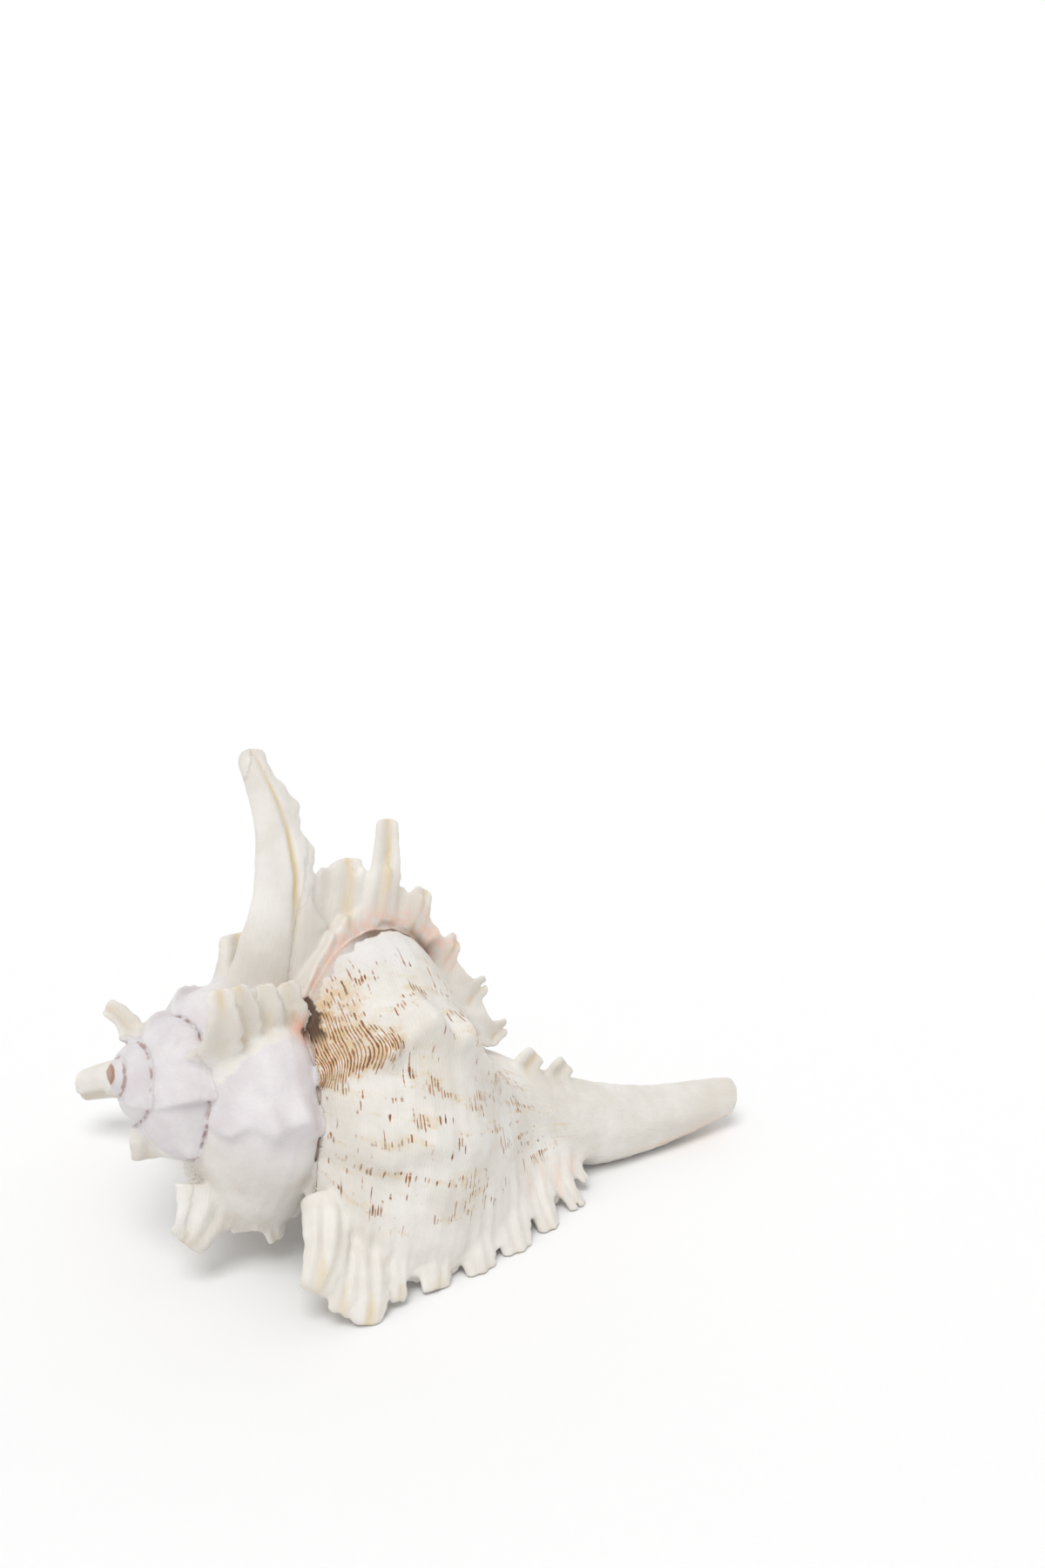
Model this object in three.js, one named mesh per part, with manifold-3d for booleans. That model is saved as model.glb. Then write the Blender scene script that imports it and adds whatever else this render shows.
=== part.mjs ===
// Ramose murex shell, right-handed, resting mouth down. Millimetres, +Z up, ground at z = 0.
//
// The shell is described in its own coiling frame: w is the distance from the apex along the
// coiling axis, rho the distance from that axis, phi the angle round it in degrees. Growth runs
// with falling phi. t counts whorls and is 0 at the finished lip, negative towards the apex.
import * as THREE from 'three';
import Module from 'manifold-3d';

// ---- coiling -------------------------------------------------------------------------------
const LIP_PHI = -50;            // angle of the finished lip
const FIRST_T = -5.6;           // the tip of the spire
const R_LIP = 44.0;             // largest radius of the last whorl at the lip
const R_SLOPE = 0.33;           // widening per whorl, as a logarithm
const R_CURVE = -0.05;          // the spire widens faster than the body
const SUTURE_LIP = 50.9;        // where the last whorl meets the one before it, at the lip
const SUTURE_RATE = 0.8;        // how fast the seam moves down the axis, as a logarithm

// ---- the section of a whorl: [height below the seam, radius], both over the whorl's radius ----
const SECTION = [
  [-0.14, 0.20], [0.0, 0.63], [0.107, 0.78], [0.25, 0.90], [0.417, 0.97], [0.63, 1.0],
  [0.80, 0.96], [0.94, 0.87], [1.06, 0.78], [1.18, 0.67], [1.345, 0.50], [1.536, 0.36],
  [1.77, 0.26], [1.95, 0.16],
];

// ---- varices: the old lips, and the height of their flange along the section --------------
const VARIX_T = [0, -0.372, -0.653, -0.917, -1.28, -1.51, -1.833, -2.139, -2.444, -2.75, -3.05];
const FLANGE_LIP = [[0.0, 0.24], [0.2, 0.28], [0.39, 0.22], [0.5, 0.15], [0.9, 0.13], [1.3, 0.32],
  [1.57, 0.35], [1.75, 0.26], [1.95, 0.05]];
const FLANGE_TOP = [[0.0, 0.10], [0.35, 0.13], [0.7, 0.12], [1.2, 0.14], [1.45, 0.14], [1.8, 0.0]];
const FLANGE_OLD = [[0.0, 0.10], [0.2, 0.15], [0.7, 0.15], [1.2, 0.18], [1.45, 0.17], [1.8, 0.0]];
const FLANGES = [FLANGE_LIP, FLANGE_TOP];   // the rest are FLANGE_OLD
const VARIX_BACK = 0.085;       // whorls taken by the slow rise on the back of a varix
const VARIX_FACE = 0.016;       // whorls taken by the steep face towards the mouth
const FINE_FROM = -2.2;         // above this whorl a varix is a single ridge
const VARIX_HOOK = [0.075, 0.20];   // an old lip runs ahead beside the seam: how far, over what height
const BULGE = [-0.37, 0.10, 0.17];  // swelling of the last whorl: middle, spread, height

// ---- axial folds between two varices, by the varix behind them ------------------------------
const FOLDS = { 1: [[0.385, 0.125], [0.66, 0.05]], 4: [[0.43, 0.11]] };  // [share of the gap, height]
const FOLDS_ELSEWHERE = [[0.50, 0.06]];
const FOLD_WIDTH = 0.028;

// ---- pillar the whorls wind round: radius at the apex, and what it gains per millimetre ------
const PILLAR = [0.35, 0.065];
const PILLAR_END = 96;
const INNER = 0.06;             // the whorls start this far out, over their radius

// ---- mouth -----------------------------------------------------------------------------------
const MOUTH = [
  [0.30, 0.24], [0.16, 0.37], [0.12, 0.55], [0.19, 0.73], [0.38, 0.86], [0.60, 0.895],
  [0.82, 0.855], [0.98, 0.76], [1.16, 0.59], [1.30, 0.41], [1.38, 0.29], [1.2, 0.21],
  [0.9, 0.18], [0.55, 0.19],
];
const MOUTH_DEPTH = 0.62;       // whorls the hollow goes back
const MOUTH_END_SCALE = 0.55;   // how far the hollow has closed there

// ---- siphonal canal: [w, offset towards phi 90, half height, half width] -----------------------
const CANAL = [
  [86, 0, 12, 12], [100, 0, 15.5, 14], [115, -1.5, 13, 12], [130, -2.8, 11.8, 10.5],
  [145, -2.9, 11, 9.5], [160, 0, 9, 8], [174, 4.4, 7.2, 6.5], [184, 8.2, 5.2, 5.0],
];
const SLIT_PHI = -140;          // side the canal is open on
const SLIT_HALF = 1.6;
const BORE_RADIUS = 3.2;

// ---- fronds: root [w, rho, phi], tip [w, rho, phi], half width at root and tip, thickness ----
const FRONDS = [
  // finished lip, from the shoulder to the canal
  [[51, 33, -42], [47.6, 54.5, -50], 9.5, 4.2, 6.0],
  [[57, 37, -46], [54.0, 59.5, -51], 6.0, 3.4, 4.4],
  [[62, 39, -46], [61.2, 62.0, -51], 6.5, 4.2, 4.8],
  [[69, 41, -46], [69.9, 56.5, -50], 5.0, 2.4, 3.8],
  [[80, 41, -47], [81.2, 53.0, -50], 6.5, 4.2, 3.8],
  [[93, 37, -47], [95.5, 48.0, -50], 6.5, 4.4, 3.8],
  [[105, 26, -47], [107.5, 43.8, -50], 7.0, 4.6, 3.8],
  [[115, 18, -47], [119.5, 38.5, -51], 6.0, 3.4, 3.6],
  [[124, 12, -50], [130.5, 30.0, -52], 5.0, 3.0, 3.4],
  [[129, 9, -52], [134.0, 20.5, -54], 4.0, 1.8, 3.0],
  // second varix, on top of the shell
  [[39.0, 31, 80], [20.0, 81.6, 88], 16.0, 3.2, 9.0],
  [[52.4, 36, 82], [50.4, 59.9, 84], 8.5, 3.6, 5.0],
  [[60.7, 36, 80], [58.9, 71.3, 84], 7.5, 3.2, 5.4],
  [[70.0, 36, 80], [72.9, 55.3, 82], 6.5, 3.0, 4.4],
  [[80.0, 33, 78], [84.9, 43.8, 80], 6.0, 3.0, 3.8],
  [[90.0, 25, 76], [96.4, 33.2, 79], 5.5, 3.0, 3.4],
  [[99.8, 17, 74], [105.5, 22.3, 77], 5.0, 3.0, 3.4],
  [[113, 9, 66], [115.0, 17.0, 68], 6.0, 4.0, 4.2],
  [[124, 7, 70], [126.0, 14.5, 72], 5.5, 3.6, 4.0],
  // third varix, on the far side; its long fronds carry the shell with the finished lip
  [[40, 28, 187], [23.4, 79.5, 193], 13.0, 5.2, 19.0],
  [[52, 30, 187], [48, 77.0, 205], 8.0, 3.4, 6.0],
  [[63, 31, 187], [64, 62.0, 203], 7.0, 2.8, 4.6],
  [[75, 26, 187], [79, 46.0, 200], 5.5, 2.4, 4.0],
  [[86, 13, 188], [92, 30.0, 196], 5.0, 2.0, 3.6],
  // whorl before the last: its lower varix, then its upper one
  [[29, 25, -77], [25.6, 39.8, -82], 9.5, 5.4, 5.2],
  [[39, 27, -78], [39.6, 36.5, -81], 5.5, 2.6, 3.2],
  [[47, 27, -78], [49.5, 38.0, -80], 5.5, 2.6, 3.2],
  [[20.5, 15, 29], [13.6, 38.0, 44], 7.5, 3.4, 5.0],
  [[26.0, 19, 37], [19.6, 35.5, 50], 6.0, 3.2, 3.6],
  [[31.5, 22, 43], [26.8, 34.5, 53], 6.0, 3.2, 3.6],
  [[38.0, 23, 47], [32.8, 35.0, 55], 6.0, 3.0, 3.6],
  [[32.0, 24, 100], [30.5, 37.0, 101], 7.5, 5.2, 9.5],
  // blunt spines of the upper whorls
  [[16.0, 13, -98], [17.0, 21.5, -103], 7.0, 5.0, 5.0],
  [[7, 8, 112], [-0.2, 16.4, 118], 4.4, 2.6, 3.6],
  [[9, 7, 214], [6.0, 14.5, 210], 4.6, 3.4, 3.4],
];
const FROND_SIDES = 6;
const FROND_STATIONS = 4;
const FROND_GROOVE = 0.45;      // depth of the open groove on the mouth side, over the thickness

// ---- walls between neighbouring fronds: which two, and how far up each the wall reaches ---------
const WEBS = [
  [0, 1, 0.92, 0.86], [1, 2, 0.86, 0.84], [2, 3, 0.80, 0.80], [3, 4, 0.72, 0.72],
  [4, 5, 0.74, 0.74], [5, 6, 0.76, 0.72], [6, 7, 0.72, 0.72], [7, 8, 0.72, 0.62],
  [8, 9, 0.72, 0.72],
  [10, 11, 0.47, 0.86], [11, 12, 0.86, 0.62], [12, 13, 0.60, 0.88], [13, 14, 0.84, 0.84],
  [14, 15, 0.80, 0.80], [15, 16, 0.75, 0.75],
  [19, 20, 0.50, 0.60], [20, 21, 0.62, 0.78], [21, 22, 0.80, 0.80], [22, 23, 0.70, 0.70],
  [24, 25, 0.80, 0.88], [25, 26, 0.88, 0.85],
  [27, 28, 0.82, 0.95], [28, 29, 0.95, 0.95], [29, 30, 0.95, 0.92],
];
const WEB_BASE = 3.2;           // thickness of a wall at its foot
const WEB_RIM = 1.4;
const WEB_OVERLAP = 0.08;       // how far it runs into each frond, over the gap between them

// ---- how the shell lies ------------------------------------------------------------------------
const AXIS_YAW = 26.7;          // heading of the canal, from +X towards +Y
const AXIS_DIP = 17.3;          // the canal end is the low end
const AXIS_ROLL = 11.2;         // turn about the axis
const APEX_HEIGHT = 55.9;

const SHELL = new THREE.MeshStandardMaterial({ name: 'shell', color: '#efe9df', roughness: 0.55 });

const rad = THREE.MathUtils.degToRad;
const whorlRadius = (t) => R_LIP * Math.exp(R_SLOPE * t + R_CURVE * t * t);
const suture = (t) => SUTURE_LIP * Math.exp(SUTURE_RATE * t);
const phiOf = (t) => LIP_PHI - 360 * t;

function table(rows, x) {
  if (x <= rows[0][0]) return rows[0][1];
  for (let i = 1; i < rows.length; i += 1) {
    const [x0, v0] = rows[i - 1];
    const [x1, v1] = rows[i];
    if (x <= x1) return v0 + ((v1 - v0) * (x - x0)) / (x1 - x0);
  }
  return rows[rows.length - 1][1];
}

// A hump over the section, from the seam to the neck.
const hump = (y) => Math.sin(Math.PI * Math.min(1, Math.max(0, (y + 0.05) / 1.45)));
const hook = (y) => VARIX_HOOK[0] * Math.exp(-Math.max(0, y) / VARIX_HOOK[1]);

// Height of the varices, folds and swelling at whorl t and section height y, over the radius.
function relief(t, y) {
  let height = 0;
  VARIX_T.forEach((at, i) => {
    const d = t - at - (i === 0 ? 0 : hook(y));
    const flange = FLANGES[i] ?? FLANGE_OLD;
    const edge = y < 0 ? 0 : table(flange, y);
    if (d <= 0 && d > -VARIX_BACK) height = Math.max(height, edge * (1 + d / VARIX_BACK) ** 1.6);
    if (d > 0 && d < VARIX_FACE) height = Math.max(height, edge * (1 - d / VARIX_FACE));
    if (i === 0) return;
    const gap = VARIX_T[i - 1] - at;
    (FOLDS[i] ?? FOLDS_ELSEWHERE).forEach(([share, fold]) => {
      const from = (t - at - share * gap) / FOLD_WIDTH;
      height = Math.max(height, fold * hump(y) * Math.exp(-from * from));
    });
  });
  const swell = (t - BULGE[0]) / BULGE[1];
  return height + BULGE[2] * hump(y) * Math.exp(-swell * swell);
}

// A point of the coiling frame, as [x, y, z] in the part's frame.
const axisX = new THREE.Vector3(
  Math.cos(rad(AXIS_YAW)) * Math.cos(rad(AXIS_DIP)),
  Math.sin(rad(AXIS_YAW)) * Math.cos(rad(AXIS_DIP)),
  -Math.sin(rad(AXIS_DIP)),
);
const level = new THREE.Vector3(Math.sin(rad(AXIS_YAW)), -Math.cos(rad(AXIS_YAW)), 0);
const rise = new THREE.Vector3().crossVectors(level, axisX);
const side = level.clone().multiplyScalar(Math.cos(rad(AXIS_ROLL)))
  .addScaledVector(rise, Math.sin(rad(AXIS_ROLL)));
const top = new THREE.Vector3().crossVectors(side, axisX);

function place(w, rho, phi) {
  return new THREE.Vector3(0, 0, APEX_HEIGHT)
    .addScaledVector(axisX, w)
    .addScaledVector(side, rho * Math.cos(rad(phi)))
    .addScaledVector(top, rho * Math.sin(rad(phi)));
}

// Closed skin through a run of rings that all have the same number of points.
function loft(rings) {
  const n = rings[0].length;
  const position = [];
  rings.forEach((ring) => ring.forEach((p) => position.push(p.x, p.y, p.z)));
  const index = [];
  for (let k = 0; k + 1 < rings.length; k += 1) {
    for (let i = 0; i < n; i += 1) {
      const a = k * n + i;
      const b = k * n + ((i + 1) % n);
      index.push(a, b, b + n, a, b + n, a + n);
    }
  }
  [0, rings.length - 1].forEach((k) => {
    const middle = new THREE.Vector3();
    rings[k].forEach((p) => middle.addScaledVector(p, 1 / n));
    const m = position.length / 3;
    position.push(middle.x, middle.y, middle.z);
    for (let i = 0; i < n; i += 1) {
      const a = k * n + i;
      const b = k * n + ((i + 1) % n);
      if (k === 0) index.push(m, b, a);
      else index.push(m, a, b);
    }
  });
  return outward(position, index);
}

// Turns the skin so that it encloses a positive volume.
function outward(position, index) {
  let volume = 0;
  const at = (i) => new THREE.Vector3(position[3 * i], position[3 * i + 1], position[3 * i + 2]);
  for (let k = 0; k < index.length; k += 3) {
    volume += at(index[k]).dot(at(index[k + 1]).cross(at(index[k + 2])));
  }
  if (volume < 0) {
    for (let k = 0; k < index.length; k += 3) {
      [index[k + 1], index[k + 2]] = [index[k + 2], index[k + 1]];
    }
  }
  const geometry = new THREE.BufferGeometry();
  geometry.setAttribute('position', new THREE.Float32BufferAttribute(position, 3));
  geometry.setIndex(index);
  return geometry;
}

// Stations along the growth, closer together where a varix stands.
function stations(from, to, step) {
  const list = [];
  const count = Math.ceil((to - from) / step);
  for (let i = 0; i <= count; i += 1) list.push(from + ((to - from) * i) / count);
  VARIX_T.forEach((at) => {
    const extra = at > FINE_FROM ? [-VARIX_BACK * 0.4, 0, VARIX_FACE] : [0];
    extra.forEach((d) => {
      const t = at + d;
      if (t > from + 0.004 && t < to - 0.004) list.push(t);
    });
  });
  list.sort((p, q) => p - q);
  return list.filter((t, i) => i === 0 || t - list[i - 1] > 0.005);
}

// One stretch of whorl, solid from the axis out to its surface.
function whorl(from, to, step, rows) {
  const rings = stations(from, to, step).map((t) => {
    const r = whorlRadius(t);
    const seam = suture(t);
    const ring = rows.map(([y, q]) => place(seam + y * r, r * (q + relief(t, y)), phiOf(t)));
    const foot = rows[rows.length - 1][0];
    ring.push(place(seam + foot * r, INNER * r, phiOf(t)));
    ring.push(place(seam + rows[0][0] * r, INNER * r, phiOf(t)));
    return ring;
  });
  return loft(rings);
}

function pillar() {
  return loft([0, PILLAR_END].map((w) => Array.from({ length: 10 }, (_, i) => (
    place(w, PILLAR[0] + PILLAR[1] * w, 36 * i + 7)))));
}

function mouth() {
  const steps = 12;
  const rings = [];
  for (let k = 0; k <= steps; k += 1) {
    const t = -MOUTH_DEPTH + ((MOUTH_DEPTH + 0.02) * k) / steps;
    const close = Math.min(1, MOUTH_END_SCALE + (1 - MOUTH_END_SCALE) * (4 * (k / steps)));
    const r = whorlRadius(t);
    rings.push(MOUTH.map(([y, q]) => place(
      suture(t) + r * (0.72 + (y - 0.72) * close),
      r * (0.55 + (q - 0.55) * close),
      phiOf(t),
    )));
  }
  return loft(rings);
}

// A run along the canal; shape(row) gives the ring as [side, top] pairs.
function alongCanal(rows, shape) {
  return loft(rows.map((row) => shape(row).map(([u, v]) => place(row[0], 0, 0)
    .addScaledVector(side, u)
    .addScaledVector(top, row[1] + v))));
}

function canal() {
  const sides = 16;
  return alongCanal(CANAL, ([, , high, wide]) => Array.from({ length: sides }, (_, i) => {
    const a = (2 * Math.PI * i) / sides;
    return [wide * Math.cos(a), high * Math.sin(a)];
  }));
}

function canalSlit() {
  const a = rad(SLIT_PHI);
  const out = [Math.cos(a), Math.sin(a)];
  const across = [-out[1], out[0]];
  const reach = 20;
  const corner = (along, wide) => [
    out[0] * along + across[0] * wide,
    out[1] * along + across[1] * wide,
  ];
  return alongCanal(CANAL.slice(1), () => [
    corner(-BORE_RADIUS, -SLIT_HALF), corner(-BORE_RADIUS, SLIT_HALF),
    corner(0, BORE_RADIUS), corner(BORE_RADIUS, SLIT_HALF), corner(reach, SLIT_HALF),
    corner(reach, -SLIT_HALF), corner(BORE_RADIUS, -SLIT_HALF), corner(0, -BORE_RADIUS),
  ]);
}

// The middle line of a frond at share s of its length, as [w, rho, phi].
function frondLine([root, tip], s) {
  const lift = Math.min(1, s * (1.25 - 0.25 * s));
  return [
    root[0] + (tip[0] - root[0]) * s * s,
    root[1] + (tip[1] - root[1]) * lift,
    root[2] + (tip[2] - root[2]) * s * s,
  ];
}

// A frond: broad and thick at the root, bending to its tip, with an open groove on the side
// that faces the mouth.
function frond(row) {
  const [, , rootHalf, tipHalf, thick] = row;
  const rings = [];
  for (let k = 0; k <= FROND_STATIONS; k += 1) {
    const s = k / FROND_STATIONS;
    const [w, rho, phi] = frondLine(row, s);
    const half = rootHalf + (tipHalf - rootHalf) * Math.sqrt(s);
    const depth = thick * (1 - 0.55 * s);
    const ring = [];
    for (let i = 0; i < FROND_SIDES; i += 1) {
      const a = (2 * Math.PI * i) / FROND_SIDES;
      const open = Math.max(0, -Math.sin(a)) ** 2;
      const across = half * Math.cos(a);
      const through = (depth / 2) * Math.sin(a) * (1 - 2 * FROND_GROOVE * open);
      const turn = THREE.MathUtils.radToDeg(through / rho);
      ring.push(place(w + across, rho, phi + turn));
    }
    rings.push(ring);
  }
  return loft(rings);
}

// A thin wall between two neighbouring fronds, running a little way into each.
function web([a, b, reachA, reachB]) {
  const point = (share, s, sign) => {
    const from = frondLine(FRONDS[a], s * reachA);
    const to = frondLine(FRONDS[b], s * reachB);
    const [w, rho, phi] = from.map((v, i) => v + (to[i] - v) * share);
    const half = 0.5 * (WEB_BASE + (WEB_RIM - WEB_BASE) * s);
    return place(w, rho, phi + THREE.MathUtils.radToDeg((sign * half) / rho));
  };
  return loft([-WEB_OVERLAP, 1 + WEB_OVERLAP].map((share) => [
    point(share, 0, -1), point(share, 0.5, -1), point(share, 1, -1),
    point(share, 1, 1), point(share, 0.5, 1), point(share, 0, 1),
  ]));
}

const wasm = await Module();
wasm.setup();
const { Manifold, Mesh } = wasm;

function toSolid(geometry) {
  return new Manifold(new Mesh({
    numProp: 3,
    vertProperties: new Float32Array(geometry.getAttribute('position').array),
    triVerts: new Uint32Array(geometry.getIndex().array),
  }));
}

function toGeometry(solid) {
  const mesh = solid.getMesh();
  const geometry = new THREE.BufferGeometry();
  geometry.setAttribute('position', new THREE.BufferAttribute(mesh.vertProperties, 3));
  geometry.setIndex(new THREE.BufferAttribute(mesh.triVerts, 1));
  return geometry;
}

// A slab under the ground, used to trim the frond tips the shell stands on.
function underground() {
  const slab = new THREE.BoxGeometry(600, 600, 100);
  const corners = [];
  const index = [];
  const found = new Map();
  const p = slab.getAttribute('position');
  slab.translate(0, 0, -50);
  for (let i = 0; i < p.count; i += 1) {
    const key = [p.getX(i), p.getY(i), p.getZ(i)].join(' ');
    if (!found.has(key)) {
      found.set(key, corners.length / 3);
      corners.push(p.getX(i), p.getY(i), p.getZ(i));
    }
  }
  const raw = slab.getIndex();
  for (let i = 0; i < raw.count; i += 1) {
    const v = raw.getX(i);
    index.push(found.get([p.getX(v), p.getY(v), p.getZ(v)].join(' ')));
  }
  return outward(corners, index);
}

// Last whorl: hollowed, then joined to the whorls above it, the canal and the fronds.
const visibleRows = SECTION.slice(0, 12);
let shell = toSolid(whorl(-0.52, 0, 0.040, SECTION))
  .add(toSolid(whorl(-1.02, -0.48, 0.05, SECTION)))
  .subtract(toSolid(mouth()));
const spire = [[-1.5, -0.97, 0.05], [-2.0, -1.46, 0.06], [-2.6, -1.96, 0.08],
  [-3.2, -2.55, 0.08], [-3.9, -3.15, 0.1], [-4.7, -3.85, 0.12], [FIRST_T, -4.65, 0.15]];
spire.forEach(([from, to, step]) => {
  shell = shell.add(toSolid(whorl(from, to, step, visibleRows)));
});
shell = shell.add(toSolid(pillar())).add(toSolid(canal()));
FRONDS.forEach((row) => {
  shell = shell.add(toSolid(frond(row)));
});
WEBS.forEach((row) => {
  shell = shell.add(toSolid(web(row)));
});
shell = shell.subtract(toSolid(canalSlit())).subtract(toSolid(underground()));

// The middle of the outline goes over the origin.
const geometry = toGeometry(shell);
geometry.computeBoundingBox();
const middle = geometry.boundingBox.getCenter(new THREE.Vector3());
geometry.translate(-middle.x, -middle.y, 0);

const root = new THREE.Group();
root.name = 'murex';
const mesh = new THREE.Mesh(geometry, SHELL);
mesh.name = 'murex_shell';
root.add(mesh);

export default root;
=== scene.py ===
import math

import bmesh
import bpy
import numpy as np
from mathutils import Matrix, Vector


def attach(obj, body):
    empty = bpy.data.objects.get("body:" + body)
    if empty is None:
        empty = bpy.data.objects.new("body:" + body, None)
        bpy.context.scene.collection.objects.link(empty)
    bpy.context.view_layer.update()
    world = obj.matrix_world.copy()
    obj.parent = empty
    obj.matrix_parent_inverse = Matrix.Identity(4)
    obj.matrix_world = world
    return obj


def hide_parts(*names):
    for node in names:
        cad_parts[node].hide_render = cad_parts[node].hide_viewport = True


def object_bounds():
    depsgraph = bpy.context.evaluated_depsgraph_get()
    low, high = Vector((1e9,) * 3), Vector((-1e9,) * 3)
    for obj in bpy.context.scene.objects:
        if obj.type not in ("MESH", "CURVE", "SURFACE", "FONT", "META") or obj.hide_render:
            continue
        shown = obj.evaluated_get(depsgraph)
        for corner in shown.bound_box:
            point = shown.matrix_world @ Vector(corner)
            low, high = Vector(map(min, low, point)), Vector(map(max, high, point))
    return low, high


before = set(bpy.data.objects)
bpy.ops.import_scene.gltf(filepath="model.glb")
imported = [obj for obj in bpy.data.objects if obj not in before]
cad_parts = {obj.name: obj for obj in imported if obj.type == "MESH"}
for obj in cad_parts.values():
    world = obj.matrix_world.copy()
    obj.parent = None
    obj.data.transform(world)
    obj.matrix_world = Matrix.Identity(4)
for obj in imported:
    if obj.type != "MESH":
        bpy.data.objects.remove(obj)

import openvdb as vdb
from mathutils import Vector

frame_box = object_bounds()

# ---- how the shell coils (millimetres; t counts whorls, 0 at the lip, negative to the apex) ----
LIP_PHI = -50.0
FIRST_T, PAST_LIP = -5.6, 0.06
WHORLS = 7
R_LIP, R_SLOPE, R_CURVE = 44.0, 0.33, -0.05
SUTURE_LIP, SUTURE_RATE = 50.9, 0.8

# Outline of a whorl: row (distance below the seam) and height, both over the whorl's radius.
SECTION = [(-0.14, 0.20), (0.0, 0.63), (0.107, 0.78), (0.25, 0.90), (0.417, 0.97), (0.63, 1.0),
           (0.80, 0.96), (0.94, 0.87), (1.06, 0.78), (1.18, 0.67), (1.345, 0.50), (1.536, 0.36),
           (1.77, 0.26), (1.95, 0.16)]

# Where the lips stand, and how high they rise at each row.
VARIX_T = [0, -0.372, -0.653, -0.917, -1.28, -1.51, -1.833, -2.139, -2.444, -2.75, -3.05]
FLANGE_LIP = [(0.0, 0.24), (0.2, 0.28), (0.39, 0.22), (0.5, 0.15), (0.9, 0.13), (1.3, 0.32),
              (1.57, 0.35), (1.75, 0.26), (1.95, 0.05)]
FLANGE_TOP = [(0.0, 0.10), (0.35, 0.13), (0.7, 0.12), (1.2, 0.14), (1.45, 0.14), (1.8, 0.0)]
FLANGE_OLD = [(0.0, 0.10), (0.2, 0.15), (0.7, 0.15), (1.2, 0.18), (1.45, 0.17), (1.8, 0.0)]
VARIX_BACK, VARIX_FACE, VARIX_LEAN = 0.085, 0.011, 0.25
VARIX_HOOK = (0.075, 0.20)
BULGE = (-0.37, 0.10, 0.17)

# Folds between two lips: share of the way and height.
FOLDS = {1: [(0.385, 0.145), (0.66, 0.05)], 4: [(0.43, 0.11)]}
FOLDS_ELSEWHERE = [(0.50, 0.06)]
FOLD_WIDTH, FOLD_BOW = 0.024, 0.046
CORD_PITCH, BIG_CORD_PITCH = 0.036, 0.115

# Each stretch of whorl is a skin of its own, from a turn to a turn.
LAST_WHORL = [(-0.52, 0), (-1.02, -0.48)]
OLDER_WHORLS = [(-1.5, -0.97), (-2.0, -1.46), (-2.6, -1.96), (-3.2, -2.55), (-3.9, -3.15),
                (-4.7, -3.85), (FIRST_T, -4.65)]
LAST_ROW, OLDER_LAST_ROW = 1.95, 1.536
WHORL_STEP = 0.0028
INNER = 0.06
PILLAR_START, PILLAR_SLOPE, PILLAR_LENGTH = 0.35, 0.065, 96.0

# Corners of the mouth's outline, and the canal: w, shift, half height, half width.
MOUTH = [(0.30, 0.24), (0.16, 0.37), (0.12, 0.55), (0.19, 0.73), (0.38, 0.86), (0.60, 0.895),
         (0.82, 0.855), (0.98, 0.76), (1.16, 0.59), (1.30, 0.41), (1.38, 0.29), (1.2, 0.21),
         (0.9, 0.18), (0.55, 0.19)]
MOUTH_DEPTH, MOUTH_END_SCALE = 0.62, 0.55
CANAL = [(70, 0, 5, 5), (86, 0, 12, 12), (100, 0, 15.5, 14), (115, -1.5, 13, 12),
         (130, -2.8, 11.8, 10.5), (145, -2.9, 11, 9.5), (160, 0, 9, 8), (174, 4.4, 7.2, 6.5),
         (184, 8.2, 5.2, 5.0)]
SLIT_FROM_ROW = 2
SLIT_PHI, SLIT_HALF, BORE_RADIUS = -140.0, 1.6, 3.2

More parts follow.
